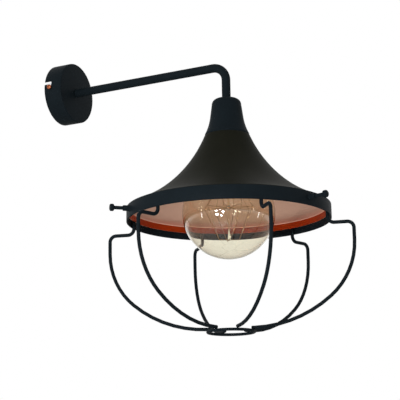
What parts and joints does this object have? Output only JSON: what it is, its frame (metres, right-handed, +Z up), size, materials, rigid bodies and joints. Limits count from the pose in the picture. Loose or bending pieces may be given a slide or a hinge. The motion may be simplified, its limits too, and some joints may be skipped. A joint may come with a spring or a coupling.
{
  "type": "cage wall light",
  "caption": "Wall light with a bent tube arm, a flared metal shade, a clear globe bulb and a clamped wire cage below the rim.",
  "frame": {"origin": "centre of the round wall cup, on the wall plane, midway between the bracket's screw slots", "axes": "+Y into the wall, +Z up, the arm runs out along -Y and the lamp hangs down along -Z"},
  "size_m": [0.324, 0.4344, 0.4123],
  "materials": {
    "black_powder_coat": "matte black powder coat",
    "shade_enamel": "matte black outside, copper-coloured lacquer inside",
    "zinc_plate": "bright zinc plate",
    "brass": "bright brass",
    "black_thermoset": "moulded black thermoset",
    "porcelain": "glazed white ceramic",
    "white_plastic": "moulded white plastic",
    "brown_pvc": "brown cable insulation",
    "blue_pvc": "blue cable insulation",
    "earth_pvc": "green and yellow cable insulation",
    "clear_glass": "clear blown glass",
    "nickel": "nickel-plated brass",
    "vitrite": "black insulating glass",
    "solder": "tinned solder",
    "filament_wire": "dark drawn wire"
  },
  "bodies": {
    "wall": {"wall_bracket": "zinc_plate", "canopy_screws": "brass"},
    "lamp": {"canopy": "black_powder_coat", "arm_tube": "black_powder_coat", "wall_nipple": "zinc_plate", "arm_locknut": "zinc_plate", "arm_washer": "zinc_plate", "nipple_bush": "white_plastic", "terminal_plate": "zinc_plate", "terminal_block": "white_plastic", "terminal_inserts": "brass", "terminal_screws": "zinc_plate", "fixing_screw": "zinc_plate", "earth_screw": "brass", "earth_lead": "earth_pvc", "live_lead": "brown_pvc", "neutral_lead": "blue_pvc", "neck_cap": "black_powder_coat", "lamp_nipple": "zinc_plate", "neck_locknut": "zinc_plate", "holder_cap": "black_thermoset", "holder_body": "black_thermoset", "shade_ring": "black_thermoset", "holder_core": "porcelain", "centre_contact": "brass", "screw_shell": "brass", "holder_terminals": "brass", "holder_screws": "zinc_plate", "shade": "shade_enamel"},
    "bulb": {"bulb_cap": "nickel", "bulb_insulator": "vitrite", "bulb_contact": "solder", "bulb_glass": "clear_glass", "bulb_stem": "clear_glass", "bulb_supports": "filament_wire", "bulb_filament": "filament_wire"},
    "cage": {"cage_band": "black_powder_coat", "cage_ring": "black_powder_coat", "cage_wire_1": "black_powder_coat", "cage_wire_2": "black_powder_coat", "cage_wire_3": "black_powder_coat", "cage_wire_4": "black_powder_coat", "cage_wire_5": "black_powder_coat", "cage_wire_6": "black_powder_coat", "screw_boss_1": "black_powder_coat", "screw_boss_2": "black_powder_coat", "screw_boss_3": "black_powder_coat"},
    "thumbscrew_a": {"thumbscrew_1": "black_powder_coat"},
    "thumbscrew_b": {"thumbscrew_2": "black_powder_coat"},
    "thumbscrew_c": {"thumbscrew_3": "black_powder_coat"}
  },
  "joints": [
    {"name": "canopy_twist", "type": "hinge", "parent": "wall", "child": "lamp", "pos_m": [0, 0, 0], "axis": [0, -1, 0], "range_deg": [0, 9]},
    {"name": "cage_slide", "type": "slide", "parent": "lamp", "child": "cage", "axis": [0, 0, -1], "range_m": [0, 0.15]},
    {"name": "bulb_out", "type": "slide", "parent": "lamp", "child": "bulb", "axis": [0, 0, -1], "range_m": [0, 0.045]},
    {"name": "thumbscrew_a_turn", "type": "hinge", "parent": "cage", "child": "thumbscrew_a", "pos_m": [-0.10569, -0.16356, -0.2078], "axis": [-0.7046, 0.7096, 0], "continuous": true},
    {"name": "thumbscrew_b_turn", "type": "hinge", "parent": "cage", "child": "thumbscrew_b", "pos_m": [-0.03933, -0.41475, -0.2078], "axis": [-0.2622, -0.965, 0], "continuous": true},
    {"name": "thumbscrew_c_turn", "type": "hinge", "parent": "cage", "child": "thumbscrew_c", "pos_m": [0.14502, -0.23168, -0.2078], "axis": [0.9668, 0.2554, 0], "continuous": true}
  ]
}
